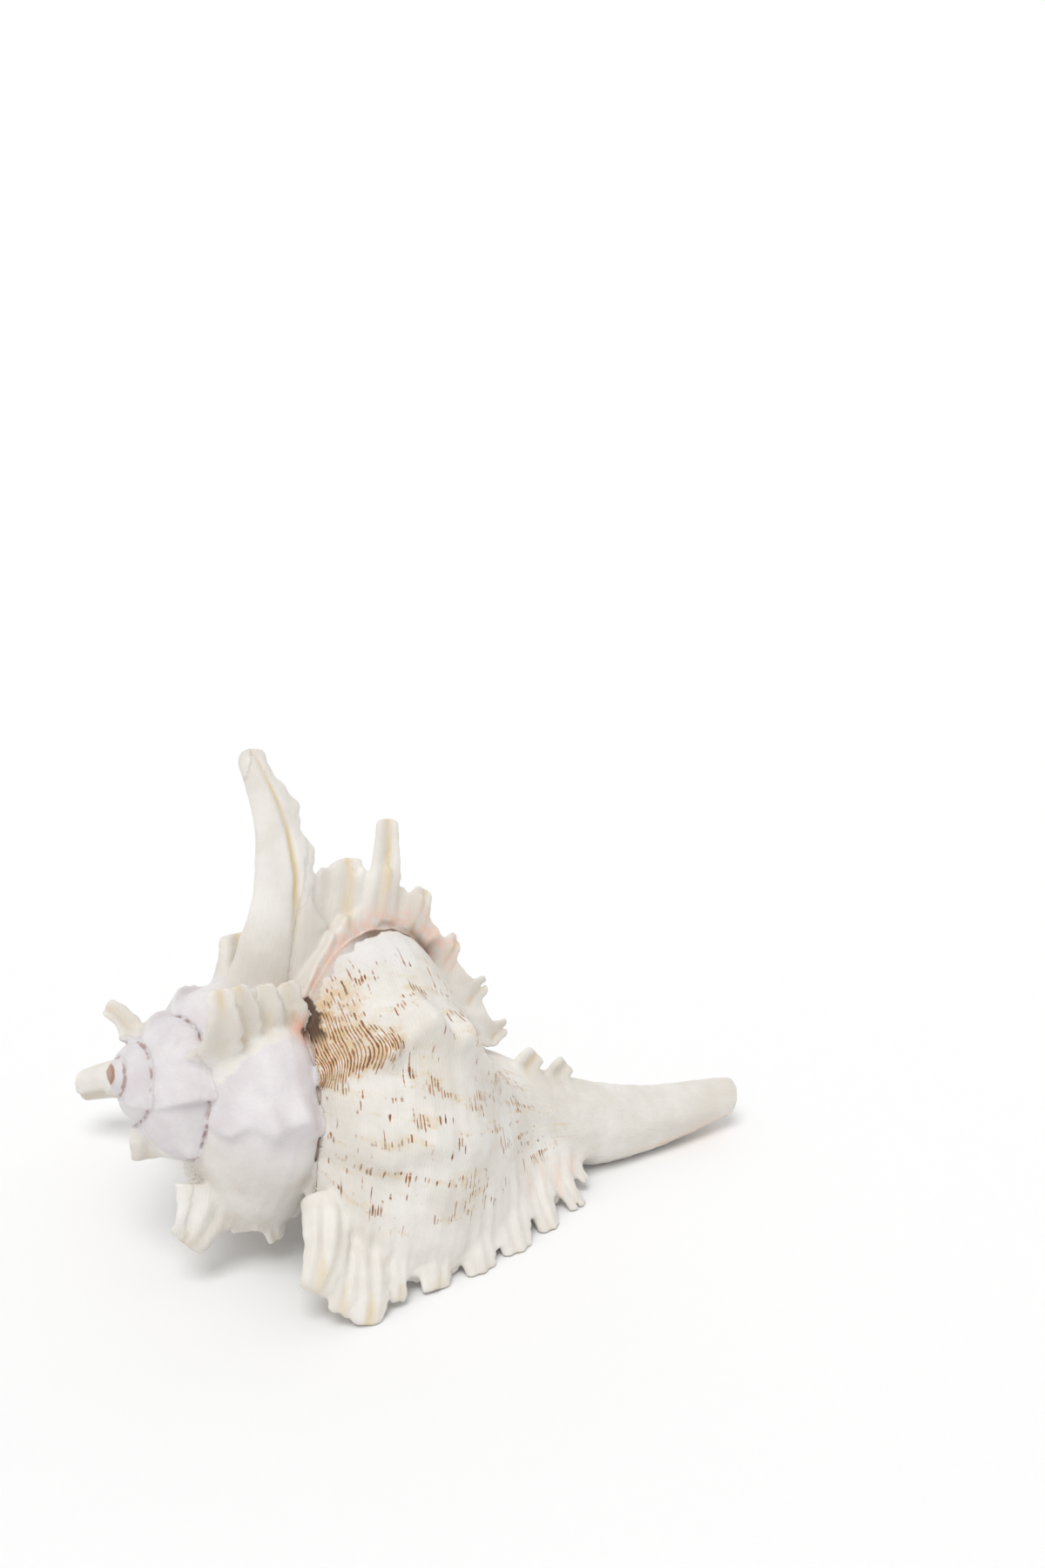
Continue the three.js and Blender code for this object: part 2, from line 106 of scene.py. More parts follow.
# ---- fronds: root (w, rho, phi), tip (w, rho, phi), half width at root and tip, thickness ----
FRONDS = [
    ((51, 33, -42), (47.6, 54.5, -50), 9.5, 4.2, 9.0),
    ((57, 37, -46), (54.0, 59.5, -51), 6.0, 3.4, 6.0),
    ((62, 39, -46), (61.2, 62.0, -51), 6.5, 4.2, 6.4),
    ((69, 41, -46), (69.9, 56.5, -50), 5.0, 2.4, 5.4),
    ((80, 41, -47), (81.2, 53.0, -50), 6.5, 4.2, 6.0),
    ((93, 37, -47), (95.5, 50.0, -50), 6.5, 4.6, 6.4),
    ((105, 26, -47), (107.5, 45.3, -50), 7.0, 4.8, 6.4),
    ((115, 18, -47), (119.5, 38.5, -51), 6.0, 3.4, 5.2),
    ((124, 12, -50), (130.5, 30.0, -52), 5.0, 3.0, 3.4),
    ((129, 9, -52), (134.0, 20.5, -54), 4.0, 1.8, 3.0),
    ((38.0, 19, 79), (20.0, 81.6, 88), 18.5, 3.2, 11.0),
    ((52.4, 36, 82), (50.4, 59.9, 84), 8.5, 3.6, 5.0),
    ((60.7, 36, 80), (58.9, 71.3, 84), 7.5, 3.2, 5.4),
    ((70.0, 36, 80), (72.9, 55.3, 82), 6.5, 3.0, 4.4),
    ((80.0, 33, 78), (84.9, 43.8, 80), 6.0, 3.0, 3.8),
    ((90.0, 25, 76), (96.4, 33.2, 79), 5.5, 3.0, 3.4),
    ((99.8, 17, 74), (105.5, 22.3, 77), 5.0, 3.0, 3.4),
    ((113, 9, 66), (115.0, 17.0, 68), 6.0, 4.0, 4.2),
    ((124, 7, 70), (126.0, 14.5, 72), 5.5, 3.6, 4.0),
    ((40, 28, 187), (22.4, 82.5, 193), 13.0, 5.2, 19.0),
    ((52, 30, 187), (48, 77.0, 205), 8.0, 3.4, 6.0),
    ((63, 31, 187), (64, 62.0, 203), 7.0, 2.8, 4.6),
    ((75, 26, 187), (79, 46.0, 200), 5.5, 2.4, 4.0),
    ((86, 13, 188), (92, 30.0, 196), 5.0, 2.0, 3.6),
    ((29, 25, -77), (25.6, 39.8, -82), 9.5, 5.4, 5.2),
    ((39, 27, -78), (39.6, 36.5, -81), 5.5, 2.6, 3.2),
    ((47, 27, -78), (49.5, 38.0, -80), 5.5, 2.6, 3.2),
    ((20.5, 15, 29), (13.6, 38.0, 44), 7.5, 3.4, 5.0),
    ((26.0, 19, 37), (19.6, 35.5, 50), 6.0, 3.2, 3.6),
    ((31.5, 22, 43), (26.8, 34.5, 53), 6.0, 3.2, 3.6),
    ((38.0, 23, 47), (32.8, 35.0, 55), 6.0, 3.0, 3.6),
    ((32.0, 24, 100), (30.5, 37.0, 101), 7.5, 5.2, 9.5),
    ((16.0, 13, -98), (17.0, 21.5, -103), 7.0, 5.0, 5.0),
    ((7, 8, 112), (-0.2, 16.4, 118), 4.4, 2.6, 3.6),
    ((9, 7, 214), (6.0, 14.5, 210), 4.6, 3.4, 3.4),
]

# ---- walls between neighbouring fronds: the two fronds, and how far up each the wall reaches ----
WEBS = [
    (0, 1, 0.92, 0.86), (1, 2, 0.86, 0.84), (2, 3, 0.80, 0.74), (3, 4, 0.70, 0.64),
    (4, 5, 0.66, 0.62), (5, 6, 0.66, 0.66), (6, 7, 0.64, 0.62), (7, 8, 0.62, 0.58),
    (8, 9, 0.72, 0.72),
    (10, 11, 0.47, 0.86), (11, 12, 0.86, 0.62), (12, 13, 0.60, 0.88), (13, 14, 0.84, 0.84),
    (14, 15, 0.80, 0.80), (15, 16, 0.75, 0.75),
    (19, 20, 0.50, 0.60), (20, 21, 0.62, 0.78), (21, 22, 0.80, 0.80), (22, 23, 0.70, 0.70),
    (24, 25, 0.80, 0.88), (25, 26, 0.88, 0.85),
    (27, 28, 0.82, 0.95), (28, 29, 0.95, 0.95), (29, 30, 0.95, 0.92),
]
WEB_BASE, WEB_RIM = 3.2, 1.4
LIP_FAN, BIG_SPINE = 0, 10
FROND_SEED, WEB_SEED = 40, 60

# ---- how it lies ----
AXIS_YAW, AXIS_DIP, AXIS_ROLL = map(math.radians, (26.7, 17.3, 11.2))
APEX = np.array([-67.634, -30.873, 55.9])

# ---- how finely it is made ----
VOXEL = 0.45
BAND = 4.0
MARGIN = 6
MOST_TRIANGLES = 190000

axis_dir = np.array([math.cos(AXIS_YAW) * math.cos(AXIS_DIP),
                     math.sin(AXIS_YAW) * math.cos(AXIS_DIP), -math.sin(AXIS_DIP)])
level = np.array([math.sin(AXIS_YAW), -math.cos(AXIS_YAW), 0.0])
side_dir = level * math.cos(AXIS_ROLL) + np.cross(level, axis_dir) * math.sin(AXIS_ROLL)
top_dir = np.cross(side_dir, axis_dir)


def place(w, rho, phi):
    """Points of the coiling frame, in the part's frame."""
    a = np.radians(phi)
    return (APEX + np.multiply.outer(w, axis_dir) + np.multiply.outer(rho * np.cos(a), side_dir)
            + np.multiply.outer(rho * np.sin(a), top_dir))


def coiling(points):
    """w, rho and phi of points given in the part's frame."""
    rel = points - APEX
    x, y = rel @ side_dir, rel @ top_dir
    return rel @ axis_dir, np.hypot(x, y), np.degrees(np.arctan2(y, x))


def whorl_radius(t):
    """Greatest distance of the whorl from the axis."""
    return R_LIP * np.exp(R_SLOPE * t + R_CURVE * t * t)


def suture(t):
    """How far down the axis the seam lies."""
    return SUTURE_LIP * np.exp(SUTURE_RATE * t)


def phi_of(t):
    return LIP_PHI - 360.0 * t


def smooth_table(rows, spread):
    """A rounded curve through the rows, as a function."""
    xs = np.linspace(rows[0][0] - 4 * spread, rows[-1][0] + 4 * spread, 1200)
    ys = np.interp(xs, [r[0] for r in rows], [r[1] for r in rows])
    step = xs[1] - xs[0]
    reach = int(3 * spread / step) + 1
    kernel = np.exp(-0.5 * (np.arange(-reach, reach + 1) * step / spread) ** 2)
    kernel /= kernel.sum()
    padded = np.pad(ys, reach, mode="edge")
    ys = np.convolve(padded, kernel, mode="valid")
    return lambda x: np.interp(x, xs, ys)


section = smooth_table(SECTION, 0.035)
flange_lip = smooth_table(FLANGE_LIP, 0.05)
flange_top = smooth_table(FLANGE_TOP, 0.05)
flange_old = smooth_table(FLANGE_OLD, 0.05)
FLANGES = [flange_lip, flange_top] + [flange_old] * (len(VARIX_T) - 2)


def ripple(x, seed, octaves=3):
    """Smooth repeatable noise of one variable, about -1 to 1."""
    rng = np.random.default_rng(seed)
    total = np.zeros_like(x, dtype=float)
    for k in range(octaves):
        knots = rng.uniform(-1, 1, 4096)
        u = x * 2 ** k + 512
        i = np.floor(u).astype(int) % 4095
        f = u - np.floor(u)
        f = f * f * (3 - 2 * f)
        total += (knots[i] * (1 - f) + knots[i + 1] * f) / 1.7 ** k
    return total / 1.8


def hook(y):
    """How far an old lip runs ahead beside the seam."""
    return VARIX_HOOK[0] * np.exp(-np.clip(y, 0, 2) / VARIX_HOOK[1])


def flange(t, y):
    """Height of the old and finished lips, over the whorl's radius."""
    height = np.zeros(np.broadcast(t, y).shape)
    for i, at in enumerate(VARIX_T):
        d = t - at - (hook(y) if i else 0)
        calm = 1.0 if i < 2 else 0.35
        ruffle = 1 + calm * (0.16 * np.cos(2 * math.pi * (y / 0.118 + 0.3 * i))
                             + 0.14 * ripple(y * 14, 7 + i))
        edge = FLANGES[i](y) * np.clip((y + 0.10) / 0.12, 0, 1) * ruffle
        back = np.clip(1 + d / VARIX_BACK, 0, 1) ** 1.7 * (d <= 0)
        face = np.clip(1 - d / VARIX_FACE, 0, 1) * (d > 0)
        height = np.maximum(height, edge * (back + face))
    return height


def across(y):
    """A hump from the seam to the neck."""
    return np.sin(math.pi * np.clip((y + 0.05) / 1.45, 0, 1))


def bulge(t, y):
    """The swelling of the whorl under the upper old lip."""
    return BULGE[2] * across(y) * np.exp(-((t - BULGE[0]) / BULGE[1]) ** 2)


def folds(t, y):
    """Height of the knobbed folds between the lips, over the whorl's radius."""
    height = np.zeros(np.broadcast(t, y).shape)
    for i in range(1, len(VARIX_T)):
        gap = VARIX_T[i - 1] - VARIX_T[i]
        for share, rise in FOLDS.get(i, FOLDS_ELSEWHERE):
            sway = FOLD_BOW * (1 - across(y)) + 0.006 * np.cos(2 * math.pi * y / 0.4 + 1.3 * i)
            d = (t - VARIX_T[i] - share * gap - sway) / FOLD_WIDTH
            d = np.where(d > 0, d * 1.7, d)
            knob = 1 + 0.32 * np.cos(2 * math.pi * y / 0.30 + i)
            over = np.sin(math.pi * np.clip((y + 0.30) / 1.70, 0, 1))
            height = np.maximum(height, rise * over * knob * np.exp(-d * d))
    return height


def form(t, y):
    """The whorl's outline over its radius, before cords and growth lines."""
    return section(y) + bulge(t, y) + np.maximum(flange(t, y), folds(t, y))


def seam_row(t):
    """The row where the whorl's upper edge meets the turn before it."""
    y = np.linspace(-0.12, 0.30, 85)[None, :]
    now = t[:, None]
    w = suture(now) + y * whorl_radius(now)
    rho = whorl_radius(now) * (section(y) + bulge(now, y))
    r_old = whorl_radius(now - 1)
    y_old = (w - suture(now - 1)) / r_old
    hidden = rho < r_old * (section(y_old) + bulge(now - 1, y_old))
    last = hidden.shape[1] - 1 - np.argmax(hidden[:, ::-1], axis=1)
    return np.where(hidden.any(1), y[0][last], 0.0)


GIRTH_ROWS = np.linspace(-0.3, 2.2, 2501)
GIRTH_STEPS = np.hypot(np.diff(GIRTH_ROWS), np.diff(section(GIRTH_ROWS)))
GIRTH = np.concatenate([[0], np.cumsum(GIRTH_STEPS)])


def girth(y):
    """Distance over the surface from the seam, over the whorl's radius."""
    return np.interp(y, GIRTH_ROWS, GIRTH) - np.interp(0.0, GIRTH_ROWS, GIRTH)


def cords(t, y):
    """Spiral cords and growth lines."""
    y = girth(y)
    big = np.abs(np.cos(math.pi * y / BIG_CORD_PITCH)) ** 5
    small = np.abs(np.cos(math.pi * y / CORD_PITCH)) ** 3
    near_lip = np.exp(-np.clip(-t, 0, 1) / 0.05)
    calm = np.where(t < -1, 0.5, 1.0)
    return (calm * (0.0060 + 0.022 * near_lip) * big + calm * 0.0022 * small * (1 - near_lip)
            + 0.0025 * ripple(t * 90, 3) + 0.005 * ripple(t * 17, 5) * calm)


def quads_of(rows, cols):
    """Faces of a grid of points, closed round in the second direction."""
    i = np.arange(rows - 1)[:, None]
    j = np.arange(cols)[None, :]
    k = (j + 1) % cols
    a, b = i * cols + j, i * cols + k
    return np.stack([a, b, b + cols, a + cols], -1).reshape(-1, 4)


def closed_loft(rings):
    """Points, quads and triangles of the closed skin through rings (stations, points, 3)."""
    rows, cols, _ = rings.shape
    points = np.concatenate([rings.reshape(-1, 3), rings[0].mean(0)[None], rings[-1].mean(0)[None]])
    quads = quads_of(rows, cols)
    j = np.arange(cols)
    k = (j + 1) % cols
    base = (rows - 1) * cols
    first = np.stack([np.full(cols, rows * cols), k, j], -1)
    last = np.stack([np.full(cols, rows * cols + 1), base + j, base + k], -1)
    return points, quads, np.concatenate([first, last])


class Field:
    """Distance field on a grid, negative inside; shapes are joined to it or cut from it."""

    def __init__(self, low, high):
        self.low = np.floor(np.array(low) / VOXEL).astype(int) - MARGIN
        size = np.ceil(np.array(high) / VOXEL).astype(int) + MARGIN - self.low
        self.band = BAND * VOXEL
        self.values = np.full(size, self.band, np.float32)

    def sample(self, solid):
        """Distance to a closed skin, and the block of the grid it fills."""
        points, quads, tris = solid
        low = np.maximum(np.floor(points.min(0) / VOXEL).astype(int) - MARGIN, self.low)
        high = np.ceil(points.max(0) / VOXEL).astype(int) + MARGIN
        high = np.minimum(high, self.low + np.array(self.values.shape))
        grid = vdb.FloatGrid.createLevelSetFromPolygons(
            points.astype(np.float32), triangles=tris.astype(np.uint32),
            quads=quads.astype(np.uint32), transform=vdb.createLinearTransform(VOXEL),
            halfWidth=BAND)
        block = np.zeros(high - low, np.float32)
        grid.copyToArray(block, ijk=tuple(int(v) for v in low))
        a, b = low - self.low, high - self.low
        return block, tuple(slice(p, q) for p, q in zip(a, b))

    def join(self, solid, blend=0.0):
        """Adds a solid, with a fillet of about the blend in millimetres."""
        block, where = self.sample(solid)
        here = self.values[where]
        merged = np.minimum(here, block)
        if blend:
            near = np.maximum(blend - np.abs(here - block), 0)
            merged -= near * near / (4 * blend)
        self.values[where] = merged

    def cut(self, solid):
        block, where = self.sample(solid)
        self.values[where] = np.maximum(self.values[where], -block)

    def cut_below_ground(self):
        heights = (np.arange(self.values.shape[2]) + self.low[2]) * VOXEL
        self.values = np.maximum(self.values, -heights[None, None, :].astype(np.float32))

    def soften(self):
        """One pass of smoothing along each axis."""
        for axis in range(3):
            v = np.moveaxis(self.values, axis, 0)
            v[1:-1] = 0.5 * v[1:-1] + 0.25 * (v[:-2] + v[2:])

    def surface(self):
        """Points, triangles and quads of the surface."""
        grid = vdb.FloatGrid(float(self.band))
        grid.transform = vdb.createLinearTransform(VOXEL)
        grid.copyFromArray(self.values, ijk=tuple(int(v) for v in self.low), tolerance=1e-5)
        return grid.convertToPolygons(0.0, 0.0)

    def crowding(self, points, reach):
        """Share of the box round each point that is shell: over a half in a crease."""
        solid = (self.values < 0).astype(np.float32)
        n = max(1, int(round(reach / VOXEL)))
        for axis in range(3):
            total = np.cumsum(solid, axis=axis)
            ahead = np.roll(total, -n, axis=axis)
            behind = np.roll(total, n + 1, axis=axis)
            solid = (ahead - behind) / (2 * n + 1)
        at = np.round(points / VOXEL).astype(int) - self.low
        at = np.clip(at, 0, np.array(self.values.shape) - 1)
        return np.clip(solid[at[:, 0], at[:, 1], at[:, 2]], 0, 1)


def whorl(start, end, last_row):
    """One stretch of whorl, solid from near the axis to its surface."""
    middle = 0.5 * (start + end)
    step = WHORL_STEP * float(np.clip(R_LIP / whorl_radius(middle), 1, 4)) ** 0.8
    t = np.linspace(start, end, int((end - start) / step) + 2)
    extra = [at + d for at in VARIX_T for d in np.linspace(-0.004, VARIX_FACE + 0.003, 9)]
    t = np.unique(np.round(np.concatenate([t, [v for v in extra if start < v < end]]), 5))
    y = np.linspace(SECTION[0][0], last_row, 150)
    tt, yy = t[:, None], y[None, :]
    r = whorl_radius(tt)
    lift = flange(tt, yy)
    wander = 0.012 * ripple(tt * 23, 11)
    w = suture(tt) + (yy + wander) * r
    rho = r * (form(tt, yy) + cords(tt, yy))
    phi = phi_of(tt) - np.degrees(VARIX_LEAN * lift * r / np.maximum(rho, 1e-3))
    outer = place(w, rho, phi)
    foot = place(w[:, -1:], INNER * r, phi[:, -1:])
    head = place(w[:, :1], INNER * r, phi[:, :1])
    return closed_loft(np.concatenate([outer, foot, head], 1))


def round_loop(corners, count):
    """A smooth closed loop through the corners."""
    p = np.array(corners, float)
    n = len(p)
    u = np.linspace(0, n, count, endpoint=False)
    i = np.floor(u).astype(int)
    f = (u - i)[:, None]
    a, b, c, d = (p[(i + k) % n] for k in (-1, 0, 1, 2))
    return 0.5 * ((2 * b) + (c - a) * f + (2 * a - 5 * b + 4 * c - d) * f ** 2
                  + (3 * b - a - 3 * c + d) * f ** 3)


def mouth():
    """The hollow of the mouth and body chamber."""
    loop = round_loop(MOUTH, 90)
    rings = []
    for k in range(91):
        share = k / 90
        t = -MOUTH_DEPTH + (MOUTH_DEPTH + 0.03) * share
        close = min(1.0, MOUTH_END_SCALE + (1 - MOUTH_END_SCALE) * 4 * share)
        r = whorl_radius(t)
        y, q = loop[:, 0], loop[:, 1]
        rings.append(place(suture(t) + r * (0.72 + (y - 0.72) * close),
                           r * (0.55 + (q - 0.55) * close), phi_of(t)))
    return closed_loft(np.array(rings))


def canal_rows(first, count):
    """Stations down the canal from one of its rows on, with shift, half height and half width."""
    rows = np.array(CANAL[first:], float)
    w = np.linspace(rows[0, 0], rows[-1, 0], count)
    curves = [smooth_table([(r[0], r[k]) for r in rows], 4.0) for k in (1, 2, 3)]
    return w, [curve(w) for curve in curves]


def canal():
    w, (shift, high, wide) = canal_rows(0, 140)
    a = np.linspace(0, 2 * math.pi, 72, endpoint=False)[None, :]
    rough = 1 + 0.02 * ripple(w[:, None] * 0.5, 21) + 0.015 * np.cos(9 * a)
    u = wide[:, None] * np.cos(a) * rough
    v = shift[:, None] + high[:, None] * np.sin(a) * rough
    spine = APEX + np.multiply.outer(w, axis_dir)
    return closed_loft(spine[:, None, :] + np.multiply.outer(u, side_dir)
                       + np.multiply.outer(v, top_dir))


def canal_slit():
    """The canal's bore with the slit that opens it."""
    w, (shift, _, _) = canal_rows(SLIT_FROM_ROW, 60)
    a = math.radians(SLIT_PHI)
    out = np.array([math.cos(a), math.sin(a)])
    sideways = np.array([-out[1], out[0]])
    corners = [(-BORE_RADIUS, -SLIT_HALF), (-BORE_RADIUS, SLIT_HALF), (0, BORE_RADIUS),
               (BORE_RADIUS, SLIT_HALF), (20, SLIT_HALF), (20, -SLIT_HALF),
               (BORE_RADIUS, -SLIT_HALF), (0, -BORE_RADIUS)]
    flat = np.array([out * c[0] + sideways * c[1] for c in corners])
    spine = APEX + np.multiply.outer(w, axis_dir)
    rings = (spine[:, None, :] + np.multiply.outer(np.tile(flat[:, 0], (len(w), 1)), side_dir)
             + np.multiply.outer(shift[:, None] + flat[None, :, 1], top_dir))
    return closed_loft(rings)


def pillar():
    """The cone round the axis that the whorls wind on."""
    w = np.linspace(0, PILLAR_LENGTH, 40)[:, None]
    a = np.linspace(0, 360, 24, endpoint=False)[None, :]
    return closed_loft(place(w + 0 * a, PILLAR_START + PILLAR_SLOPE * w + 0 * a, 0 * w + a))


def frond_line(number, s):
    """Centre line of a frond: w, rho and phi at shares s of its length."""
    root, tip = FRONDS[number][:2]
    w = root[0] + (tip[0] - root[0]) * s * s
    rho = root[1] + (tip[1] - root[1]) * np.minimum(1, s * (1.25 - 0.25 * s))
    phi = root[2] + (tip[2] - root[2]) * s * s
    return w, rho, phi


def slit_place(number, s):
    """Where the slit runs across a frond, over its half width."""
    middle = 0.18 if number == BIG_SPINE else 0.0
    return middle + 0.10 * ripple(s * 4, FROND_SEED + number + 50)


def frond(number):
    """A frond, ribbed on its back, with a channel on the side towards the mouth.

    The big spine's channel has closed to a narrow slit.
    """
    _, _, root_half, tip_half, thick = FRONDS[number]
    seed = FROND_SEED + number
    if number == BIG_SPINE:
        pace, crinkle, width, sunk = 22, 0.42, 0.09, 0.24
    else:
        pace, crinkle, width, sunk = 11, 0.24, 0.50, 0.66 * min(1, 5.5 / root_half)
    s = np.concatenate([np.linspace(0, 0.95, 44), [0.965, 0.98, 0.99, 0.997, 1.0]])
    w, rho, phi = frond_line(number, s)
    slope_w, slope_rho = np.gradient(w, s), np.gradient(rho, s)
    size = np.hypot(slope_w, slope_rho)
    out_w, out_rho = slope_rho / size, -slope_w / size
    blunt = np.where(s > 0.95, np.sqrt(np.clip(1 - ((s - 0.95) / 0.052) ** 2, 0.03, 1)), 1)
    half = (root_half + (tip_half - root_half) * np.sqrt(s)) * blunt
    if number == LIP_FAN:
        half *= 0.62 + 0.38 * np.sin(math.pi / 2 * np.clip(s / 0.45, 0, 1))
    depth = thick * (1 - 0.55 * s) * (0.35 + 0.65 * blunt)
    a = np.linspace(0, 2 * math.pi, 72, endpoint=False)[None, :]
    rise = np.clip(s / 0.35, 0, 1)[:, None]
    edge = ripple(s * pace, seed)[:, None] * np.clip(np.cos(a), 0, 1) ** 2
    other = ripple(s * 8, seed + 90)[:, None] * np.clip(-np.cos(a), 0, 1) ** 2
    x = half[:, None] * np.cos(a) * (1 + crinkle * rise * edge + 0.10 * rise * other)
    back = np.clip(np.sin(a), 0, 1)
    front = np.clip(-np.sin(a), 0, 1)
    ribs = 1 + 0.24 * rise * np.cos(7 * a + seed) * back
    z = 0.5 * depth[:, None] * (back * ribs - front)
    middle = slit_place(number, s)[:, None]
    notch = np.exp(-((np.cos(a) - middle) / width) ** 2) * (front > 0)
    z += notch * depth[:, None] * sunk * np.clip((s[:, None] - 0.12) / 0.3, 0, 1)
    ring_w = w[:, None] + x * out_w[:, None]
    ring_rho = rho[:, None] + x * out_rho[:, None]
    ring_phi = phi[:, None] + np.degrees(z / np.maximum(rho, 4)[:, None])
    return closed_loft(place(ring_w, ring_rho, ring_phi))


def web(a, b, reach_a, reach_b):
    """A thin pleated wall between two neighbouring fronds, scalloped along its rim."""
    seed = WEB_SEED + a
    u = np.linspace(0, 1, 40)[:, None]
    s = np.linspace(0, 1, 26)[None, :]
    rim = reach_a + (reach_b - reach_a) * u
    rim += 0.07 * ripple(u * 5, seed) - 0.08 * np.sin(math.pi * u)
    wa, ra, pa = frond_line(a, s * rim)
    wb, rb, pb = frond_line(b, s * rim)
    w, rho, phi = wa + (wb - wa) * u, ra + (rb - ra) * u, pa + (pb - pa) * u
    pleat = s * (0.9 * np.cos(2 * math.pi * u + seed) + 0.5 * ripple(u * 7, seed + 3))
    half = 0.5 * (WEB_BASE + (WEB_RIM - WEB_BASE) * s)
    turn = np.degrees(1 / np.maximum(rho, 4))
    front = place(w, rho, phi + (pleat - half) * turn)
    back = place(w, rho, phi + (pleat + half) * turn)
    return closed_loft(np.concatenate([front, back[:, ::-1]], 1))


def foot_turn(y):
    """The turn at which the last whorl comes out from under the upper old lip."""
    return VARIX_T[1] + hook(y) + VARIX_FACE + 0.004


def tube(w, rho, phi, size):
    """A round tube along a line that runs down a whorl."""
    a = np.linspace(0, 2 * math.pi, 14, endpoint=False)[None, :]
    turn = np.degrees(size[:, None] * np.cos(a) / rho[:, None])
    return closed_loft(place(w[:, None] + 0 * a, rho[:, None] + 1.2 * size[:, None] * np.sin(a),
                             phi[:, None] + turn))


def foot_groove():
    """The groove along the foot of the upper old lip."""
    y = np.linspace(0.02, 1.30, 200)
    t = foot_turn(y) + 0.0015 * ripple(y * 9, 33)
    r = whorl_radius(t)
    return tube(suture(t) + y * r, r * (section(y) + bulge(t, y)) + 0.3, phi_of(t),
                0.9 + 0.35 * ripple(y * 12, 34))


def seam_line(t):
    """The seam's w and rho."""
    y = seam_row(t)
    r = whorl_radius(t)
    return suture(t) + y * r, r * (section(y) + bulge(t, y))


def seam_groove(start, end):
    """The groove where each turn is laid on the one before."""
    t = np.linspace(start, end, int((end - start) * 220))
    w, rho = seam_line(t)
    r = whorl_radius(t)
    size = 0.010 * r + 0.16 + 0.004 * r * ripple(t * 60, 35)
    size += 1.5 * np.exp(-((t + 0.30) / 0.045) ** 2)
    a = np.linspace(0, 2 * math.pi, 12, endpoint=False)[None, :]
    return closed_loft(place(w[:, None] + 0.3 * ripple(t * 45, 36)[:, None]
                             + size[:, None] * np.cos(a),
                             rho[:, None] + 1.3 * size[:, None] * np.sin(a),
                             phi_of(t)[:, None] + 0 * a))


def build_field():
    """The whole shell as one distance field."""
    box_low, box_high = (np.array(v) * 1000 for v in frame_box)
    field = Field(box_low - 4, box_high + 4)
    for start, end in LAST_WHORL:
        field.join(whorl(start, end, LAST_ROW))
    field.cut(mouth())
    for start, end in OLDER_WHORLS:
        field.join(whorl(start, end, OLDER_LAST_ROW), 0.3)
    for start in np.arange(-4.8, -0.1, 0.5):
        field.cut(seam_groove(start, min(start + 0.51, -0.005)))
    field.join(pillar())
    field.join(canal(), 2.0)
    for number in range(len(FRONDS)):
        field.join(frond(number), 1.2)
    for row in WEBS:
        field.join(web(*row), 0.8)
    field.cut(foot_groove())
    field.cut(canal_slit())
    field.cut_below_ground()
    field.soften()
    return field


def mesh_from(points, tris, quads, name):
    mesh = bpy.data.meshes.new(name)
    faces = [tuple(q) for q in quads.tolist()] + [tuple(t) for t in tris.tolist()]
    mesh.from_pydata((points / 1000.0).tolist(), [], faces)
    mesh.update()
    obj = bpy.data.objects.new(name, mesh)
    bpy.context.scene.collection.objects.link(obj)
    return obj


def largest_part(mesh):
    """Which points belong to the part of the mesh with the most points."""
    n = len(mesh.vertices)
    edges = np.zeros(len(mesh.edges) * 2, np.int64)
    mesh.edges.foreach_get("vertices", edges)
    edges = edges.reshape(-1, 2)
    label = np.arange(n)
    while True:
        low = np.minimum(label[edges[:, 0]], label[edges[:, 1]])
        new = label.copy()
        np.minimum.at(new, edges[:, 0], low)
        np.minimum.at(new, edges[:, 1], low)
        new = new[new]
        if np.array_equal(new, label):
            break
        label = new
    return label == np.bincount(label, minlength=n).argmax()


def drop_crumbs(mesh):
    """Deletes everything that hangs loose from the one big surface."""
    loose = np.where(~largest_part(mesh))[0]
    if not len(loose):
        return
    bm = bmesh.new()
    bm.from_mesh(mesh)
    bm.verts.ensure_lookup_table()
    bmesh.ops.delete(bm, geom=[bm.verts[i] for i in loose], context="VERTS")
    bm.to_mesh(mesh)
    bm.free()


def thin_out(obj, most):
    """Collapses edges where there are more triangles than the stated number."""
    count = sum(len(p.vertices) - 2 for p in obj.data.polygons)
    if count <= most:
        return
    modifier = obj.modifiers.new("thin", "DECIMATE")
    modifier.ratio = most / count
    graph = bpy.context.evaluated_depsgraph_get()
    light = bpy.data.meshes.new_from_object(obj.evaluated_get(graph))
    obj.modifiers.clear()
    obj.data = light


def attribute(mesh, name, values):
    layer = mesh.attributes.new(name, "FLOAT", "POINT")
    layer.data.foreach_set("value", np.asarray(values, np.float32))


def nearest_whorl(w, rho, phi):
    """Turn, row, distance off the surface, and depth inside the mouth, of the nearest whorl."""
    off_surface = np.full(len(w), 1e9)
    inside, turn, row = (np.zeros(len(w)) for _ in range(3))
    for k in range(WHORLS):
        t = -(phi - LIP_PHI) / 360 - k
        if k == 0:
            t = np.where(t > PAST_LIP, t - 1, t)
        t = np.clip(t, FIRST_T, PAST_LIP)
        r = whorl_radius(t)
        y = (w - suture(t)) / r
        y_held = np.clip(y, 0, 1.9)
        above = rho - r * form(t, y_held)
        off = np.hypot(above, (y - y_held) * r)
        better = off < off_surface
        inside = np.where(better, np.clip(-above / 3 - 0.4, 0, 1) * (t > -0.75), inside)
        off_surface = np.where(better, off, off_surface)
        turn = np.where(better, t, turn)
        row = np.where(better, y, row)
    return turn, row, off_surface, inside


